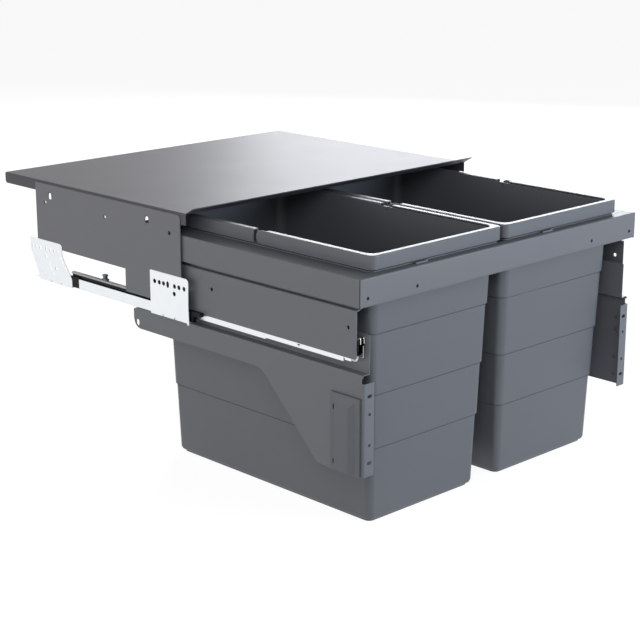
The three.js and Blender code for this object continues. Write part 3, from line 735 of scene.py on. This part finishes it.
@dataclass
class WallBrackets(SubAssembly):
    """The four zinc brackets on the cabinet walls."""

    def build(self) -> None:
        """Dresses the brackets."""
        for stem in ("front_bracket", "rear_bracket"):
            self.dress(stem, self.finishes.zinc, Slot.ZINC, SHEET_EDGE)


@dataclass(frozen=True)
class Bend:
    """A bend of a wire: its right-handed angle about X, and its centre as Y and Z."""

    degrees: float
    centre_mm: tuple[float, float]


@dataclass(frozen=True)
class Run:
    """A straight run of a wire, as Y and Z in millimetres."""

    by_mm: tuple[float, float]


@dataclass
class Runners(SubAssembly):
    """The telescopic rails with their rollers, soft close and front catches."""

    wire_mm: float = 1.5
    keeper_wire_mm: float = 1.0
    wire_face_mm: float = -312.0
    hook_x_mm: float = 269.1
    hook_start_mm: tuple[float, float] = (-298.6, 230.6)
    hook_reach_mm: float = 6.4
    hook_bend_mm: float = 5.0
    hook_rise_mm: float = 2.4
    keeper_x_mm: float = 261.8
    keeper_start_mm: tuple[float, float] = (-306.0, 234.2)
    keeper_bend_mm: float = 1.6
    keeper_rise_mm: float = 14.0
    prong_x_mm: tuple[float, float] = (266.6, 260.4)
    prong_low_mm: float = 252.4
    prong_rise_mm: float = 5.5
    prong_bend_mm: float = 2.3
    prong_reach_mm: float = 1.0
    prong_end_bend_mm: float = 1.2
    prong_tip_mm: float = 1.6
    wire_sides: int = 12
    bend_steps: int = 6

    def build(self) -> None:
        """Dresses the rails and bends the wires of the catches."""
        finish = self.finishes
        for stem in ("fixed_rail", "middle_rail", "moving_rail"):
            self.dress(stem, finish.zinc, Slot.ZINC, THIN_EDGE)
        self.dress("soft_close_lid", finish.pale_plastic, Slot.CAP, THIN_EDGE)
        self.dress("soft_close_trigger", finish.cap_plastic, Slot.CAP, THIN_EDGE)
        for stem in (
            "soft_close_housing",
            "rail_mouth",
            "lower_roller_cage",
            "upper_roller_cage",
            "rail_catch",
        ):
            self.dress(stem, finish.black_plastic, Slot.BLACK, THIN_EDGE)
        for side in Side:
            self.bend_hook(side)
            self.bend_keeper(side)
            for number, x_mm in enumerate(self.prong_x_mm, start=1):
                self.bend_prong(side, number, x_mm)

    def bend_hook(self, side: Side) -> None:
        """Bends the wire that runs on from the rail and hooks up in front of the catch.

        Args:
            side: Half of the unit.
        """
        (y, z), reach, bend = self.hook_start_mm, self.hook_reach_mm, self.hook_bend_mm
        path = (
            Run((-reach, 0.0)),
            Bend(-90.0, (y - reach, z + bend)),
            Run((0.0, self.hook_rise_mm)),
        )
        self.bend_wire(f"catch_hook_{side.tag}", side.value * self.hook_x_mm, (y, z), path)

    def bend_keeper(self, side: Side) -> None:
        """Bends the wire that holds the catch from below and runs up its front.

        Args:
            side: Half of the unit.
        """
        (y, z), bend = self.keeper_start_mm, self.keeper_bend_mm
        reach = y - self.wire_face_mm - bend
        path = (
            Run((-reach, 0.0)),
            Bend(-90.0, (y - reach, z + bend)),
            Run((0.0, self.keeper_rise_mm)),
        )
        self.bend_wire(
            f"catch_keeper_{side.tag}",
            side.value * self.keeper_x_mm,
            (y, z),
            path,
            self.keeper_wire_mm,
        )

    def bend_prong(self, side: Side, number: int, x_mm: float) -> None:
        """Bends one prong of the spring that is clipped over the top of the catch.

        Args:
            side: Half of the unit.
            number: First or second prong.
            x_mm: Distance of the prong from the middle of the unit.
        """
        y, z = self.wire_face_mm, self.prong_low_mm
        rise, bend, reach = self.prong_rise_mm, self.prong_bend_mm, self.prong_reach_mm
        end_z = z + rise + bend - self.prong_end_bend_mm
        path = (
            Run((0.0, rise)),
            Bend(-90.0, (y + bend, z + rise)),
            Run((reach, 0.0)),
            Bend(-90.0, (y + bend + reach, end_z)),
            Run((0.0, -self.prong_tip_mm)),
        )
        self.bend_wire(f"catch_prong_{number}_{side.tag}", side.value * x_mm, (y, z), path)

    def bend_wire(
        self,
        name: str,
        x_mm: float,
        start_mm: tuple[float, float],
        path: tuple[Run | Bend, ...],
        thick_mm: float | None = None,
    ) -> None:
        """Draws a round wire along straight runs and bends in an upright plane.

        Args:
            name: Name of the piece.
            x_mm: The plane's X.
            start_mm: Y and Z of the wire's first end.
            path: The runs and bends in order.
            thick_mm: Thickness, where it isn't the usual one.
        """
        heading = next(step for step in path if isinstance(step, Run)).by_mm
        deselect_all()
        bpy.ops.mesh.primitive_circle_add(
            vertices=self.wire_sides,
            radius=(thick_mm or self.wire_mm) / 2 * MM,
            fill_type="NGON",
            location=(x_mm * MM, start_mm[0] * MM, start_mm[1] * MM),
            rotation=(math.atan2(-heading[0], heading[1]), 0.0, 0.0),
        )
        wire = bpy.context.object
        wire.name = name
        bpy.ops.object.transform_apply(location=True, rotation=True, scale=True)
        bpy.ops.object.mode_set(mode="EDIT")
        bpy.ops.mesh.select_all(action="SELECT")
        for step in path:
            if isinstance(step, Run):
                bpy.ops.mesh.extrude_region_move(
                    TRANSFORM_OT_translate={
                        "value": (0.0, step.by_mm[0] * MM, step.by_mm[1] * MM)
                    }
                )
                continue
            centre = (x_mm * MM, step.centre_mm[0] * MM, step.centre_mm[1] * MM)
            # The spin operator turns against the right-hand rule here.
            turn = -math.radians(step.degrees) / self.bend_steps
            for _ in range(self.bend_steps):
                bpy.ops.mesh.spin(steps=1, angle=turn, center=centre, axis=(1.0, 0.0, 0.0))
        bpy.ops.mesh.select_all(action="SELECT")
        bpy.ops.mesh.remove_doubles(threshold=MERGE_MM * MM)
        bpy.ops.mesh.normals_make_consistent(inside=False)
        bpy.ops.object.mode_set(mode="OBJECT")
        THIN_EDGE.round(wire)
        wire.data.materials.append(self.finishes.nickel)
        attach(wire, "drawer")
        log.info("%s: %s", wire.name, self.finishes.nickel.name)


@dataclass
class DrawerFrame(SubAssembly):
    """The frame that carries the bins, and the strips that hang it on the rails."""

    hole_at_mm: tuple[tuple[float, float], ...] = ((-42.0, 271.8), (-295.8, 271.8))
    hole_radius_mm: float = 2.6
    punch_length_mm: float = 4.0
    strip_face_mm: float = 271.4
    hole_sides: int = 24

    def build(self) -> None:
        """Dresses the frame."""
        finish = self.finishes
        for stem in ("front_panel", "rear_frame_rail", "frame_side"):
            self.dress(stem, finish.powder_coat, Slot.POWDER_COAT, SHEET_EDGE)
        self.dress(
            "runner_side", finish.powder_coat, Slot.POWDER_COAT, SHEET_EDGE, self.widen_holes
        )

    def widen_holes(self, strip: bpy.types.Object) -> None:
        """Opens the fixing holes to the clearance size of their screws.

        Args:
            strip: A lower side strip in edit mode.
        """
        for y, z in self.hole_at_mm:
            bpy.ops.object.mode_set(mode="OBJECT")
            deselect_all()
            bpy.ops.mesh.primitive_cylinder_add(
                vertices=self.hole_sides,
                radius=self.hole_radius_mm * MM,
                depth=self.punch_length_mm * MM,
                location=(side_of(strip) * self.strip_face_mm * MM, y * MM, z * MM),
                rotation=(0.0, math.radians(90.0), 0.0),
            )
            punch_out(strip, bpy.context.object)


@dataclass
class DoorBrackets(SubAssembly):
    """The two brackets that take the cabinet front, with the caps on their adjusters."""

    def build(self) -> None:
        """Dresses the brackets and caps."""
        finish = self.finishes
        self.dress("door_bracket", finish.powder_coat, Slot.POWDER_COAT, SHEET_EDGE)
        self.dress("adjuster_cap", finish.cap_plastic, Slot.CAP, MOULDED_EDGE)


@dataclass
class Bins(SubAssembly):
    """The two lift-out bins and their carrying bails."""

    tier_tops_mm: tuple[float, ...] = (255.6, 174.6, 101.6)
    line_height_mm: float = 1.1
    line_depth_mm: float = 0.9
    slack_mm: float = 0.02

    def build(self) -> None:
        """Dresses the bins and bails."""
        finish = self.finishes
        self.dress("bin", finish.bin_plastic, Slot.BIN, MOULDED_EDGE, self.score_tiers)
        self.dress("bail", finish.bail_plastic, Slot.BAIL, MOULDED_EDGE)

    def score_tiers(self, shell: bpy.types.Object) -> None:
        """Sets a thin line back under the step at the top of each lower tier.

        Args:
            shell: A bin in edit mode.
        """
        for top_mm in self.tier_tops_mm:
            low, high = (top_mm - self.line_height_mm) * MM, top_mm * MM
            bpy.ops.mesh.select_all(action="SELECT")
            bpy.ops.mesh.bisect(plane_co=(0.0, 0.0, low), plane_no=(0.0, 0.0, 1.0))
            bpy.ops.mesh.select_mode(type="FACE")
            bpy.ops.mesh.select_all(action="DESELECT")
            bpy.ops.object.mode_set(mode="OBJECT")
            mesh, slack = shell.data, self.slack_mm * MM
            middle = sum((v.co for v in mesh.vertices), Vector()) / len(mesh.vertices)
            for face in mesh.polygons:
                heights = [mesh.vertices[i].co.z for i in face.vertices]
                outwards = face.normal.xy.dot(face.center.xy - middle.xy) > 0.0
                face.select = (
                    outwards and min(heights) > low - slack and max(heights) < high + slack
                )
            bpy.ops.object.mode_set(mode="EDIT")
            bpy.ops.mesh.extrude_region_shrink_fatten(
                TRANSFORM_OT_shrink_fatten={"value": -self.line_depth_mm * MM}
            )


# ---------------------------------------------------------------- studio


@dataclass(frozen=True)
class SoftBox:
    """A soft box: where it stands, how big it is and how bright, where one is white."""

    name: str
    place: tuple[float, float, float]
    size: tuple[float, float]
    glow: float
    colour: str = "#FFFFFF"
    aim: tuple[float, float, float] = (0.0, 0.0, 0.25)

    def build(self) -> None:
        """Adds the lamp, aimed at the unit."""
        lamp_data = bpy.data.lights.new(self.name, "AREA")
        lamp_data.shape = "RECTANGLE"
        lamp_data.size, lamp_data.size_y = self.size
        lamp_data.energy = self.glow * math.pi * self.size[0] * self.size[1]
        lamp_data.color = linear(self.colour)[:3]
        lamp = bpy.data.objects.new(self.name, lamp_data)
        bpy.context.scene.collection.objects.link(lamp)
        lamp.location = self.place
        direction = Vector(self.aim) - Vector(self.place)
        lamp.rotation_euler = direction.to_track_quat("-Z", "Y").to_euler()


@dataclass
class Studio:
    """Floor, room, soft boxes and camera."""

    floor_drop: float = 0.0005
    floor_size: float = 40.0
    floor_colour: str = "#F2F2F2"
    floor_shade_colour: str = "#8C8C8C"
    floor_glow: float = 0.9
    room_colour: str = "#FFFFFF"
    wall_light: float = 0.66
    ceiling_light: float = 0.05
    ceiling_from: float = 0.7
    camera_place: tuple[float, float, float] = (-1.6198, -1.6345, 0.8168)
    camera_turn: tuple[float, float, float] = (74.25, 0.0, -44.17)
    camera_range: tuple[float, float] = (0.05, 60.0)
    focal_px: float = 1630.0
    sensor_mm: float = 36.0
    boxes: tuple[SoftBox, ...] = (
        SoftBox(
            name="sheen_back_right",
            place=(2.6, 1.55, 1.35),
            size=(2.3, 1.3),
            glow=5.6,
            colour="#F7FAFF",
        ),
        SoftBox(
            name="key_front_left",
            place=(-2.3, -2.2, 1.9),
            size=(1.6, 1.2),
            glow=5.0,
        ),
        SoftBox(
            name="fill_left",
            place=(-3.1, 0.9, 0.75),
            size=(2.4, 1.3),
            glow=1.9,
        ),
        SoftBox(
            name="fill_front_right",
            place=(1.6, -3.0, 0.8),
            size=(2.4, 1.3),
            glow=6.9,
            colour="#DFECFF",
        ),
    )

    def build_floor(self) -> None:
        """Adds a plain pale floor: white to the eye and in reflections, with a shadow."""
        material = bpy.data.materials.new("studio_floor")
        material.use_nodes = True
        tree = material.node_tree
        tree.nodes.clear()
        paper = add_node(tree, "ShaderNodeBsdfDiffuse", {"Color": linear(self.floor_colour)})
        shade = add_node(
            tree, "ShaderNodeBsdfDiffuse", {"Color": linear(self.floor_shade_colour)}
        )
        glow = add_node(tree, "ShaderNodeEmission", {"Strength": self.floor_glow})
        seen = add_node(
            tree, "ShaderNodeAddShader", links={0: shade.outputs[0], 1: glow.outputs[0]}
        )
        pick = add_node(
            tree,
            "ShaderNodeMixShader",
            links={0: self.seen_rays(tree), 1: paper.outputs[0], 2: seen.outputs[0]},
        )
        add_node(tree, "ShaderNodeOutputMaterial", links={"Surface": pick.outputs[0]})
        deselect_all()
        bpy.ops.mesh.primitive_plane_add(
            size=self.floor_size, location=(0.0, 0.0, -self.floor_drop)
        )
        floor = bpy.context.object
        floor.name = "studio_floor"
        floor.data.materials.append(material)

    def build_room(self) -> None:
        """Sets a pale room with a dim ceiling, white behind the unit and in reflections."""
        room = bpy.data.worlds.new("studio_room")
        bpy.context.scene.world = room
        room.use_nodes = True
        tree = room.node_tree
        tree.nodes.clear()
        way = add_node(tree, "ShaderNodeTexCoord").outputs["Generated"]
        rise = add_node(tree, "ShaderNodeSeparateXYZ", links={"Vector": way}).outputs["Z"]
        level = add_node(
            tree,
            "ShaderNodeMapRange",
            {
                "From Max": self.ceiling_from,
                "To Min": self.wall_light,
                "To Max": self.ceiling_light,
            },
            {"Value": rise},
        ).outputs["Result"]
        colour = linear(self.room_colour)
        dim = add_node(tree, "ShaderNodeBackground", {"Color": colour}, {"Strength": level})
        white = add_node(tree, "ShaderNodeBackground", {"Color": colour, "Strength": 1.0})
        pick = add_node(
            tree,
            "ShaderNodeMixShader",
            links={0: self.seen_rays(tree), 1: dim.outputs[0], 2: white.outputs[0]},
        )
        add_node(tree, "ShaderNodeOutputWorld", links={"Surface": pick.outputs[0]})

    def seen_rays(self, tree: bpy.types.NodeTree) -> bpy.types.NodeSocket:
        """Tells rays from the camera, or by way of metal or glass, from lighting rays.

        Args:
            tree: The tree that needs it.

        Returns:
            A socket that is one for such rays.
        """
        rays = add_node(tree, "ShaderNodeLightPath")
        total = rays.outputs["Is Camera Ray"]
        for name in ("Is Glossy Ray", "Is Transmission Ray"):
            total = add_node(
                tree,
                "ShaderNodeMath",
                {"operation": "ADD", "use_clamp": True},
                {0: total, 1: rays.outputs[name]},
            ).outputs[0]
        return total

    def build_camera(self) -> None:
        """Adds the camera at the photograph's angle."""
        lens = bpy.data.cameras.new("camera")
        lens.sensor_width = self.sensor_mm
        lens.lens = self.focal_px / PICTURE_PX * self.sensor_mm
        lens.clip_start, lens.clip_end = self.camera_range
        camera = bpy.data.objects.new("camera", lens)
        bpy.context.scene.collection.objects.link(camera)
        camera.location = self.camera_place
        camera.rotation_euler = [math.radians(angle) for angle in self.camera_turn]
        bpy.context.scene.camera = camera

    def build(self) -> None:
        """Adds everything round the unit."""
        self.build_floor()
        self.build_room()
        for box in self.boxes:
            box.build()
        self.build_camera()
        bpy.context.scene.view_settings.view_transform = "Standard"


def corners(box: tuple[Vector, Vector]) -> list[list[float]]:
    """A box as plain lists of numbers."""
    return [list(box[0]), list(box[1])]


def main() -> None:
    """Builds the dressed unit and its studio."""
    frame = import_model()
    nodes, finishes = dict(frame["nodes"]), Finishes()
    for part in (Housing, WallBrackets, Runners, DrawerFrame, DoorBrackets, Bins):
        part(nodes, finishes).build()
    Studio().build()
    log.info("unit finished")


if __name__ == "__main__":
    main()
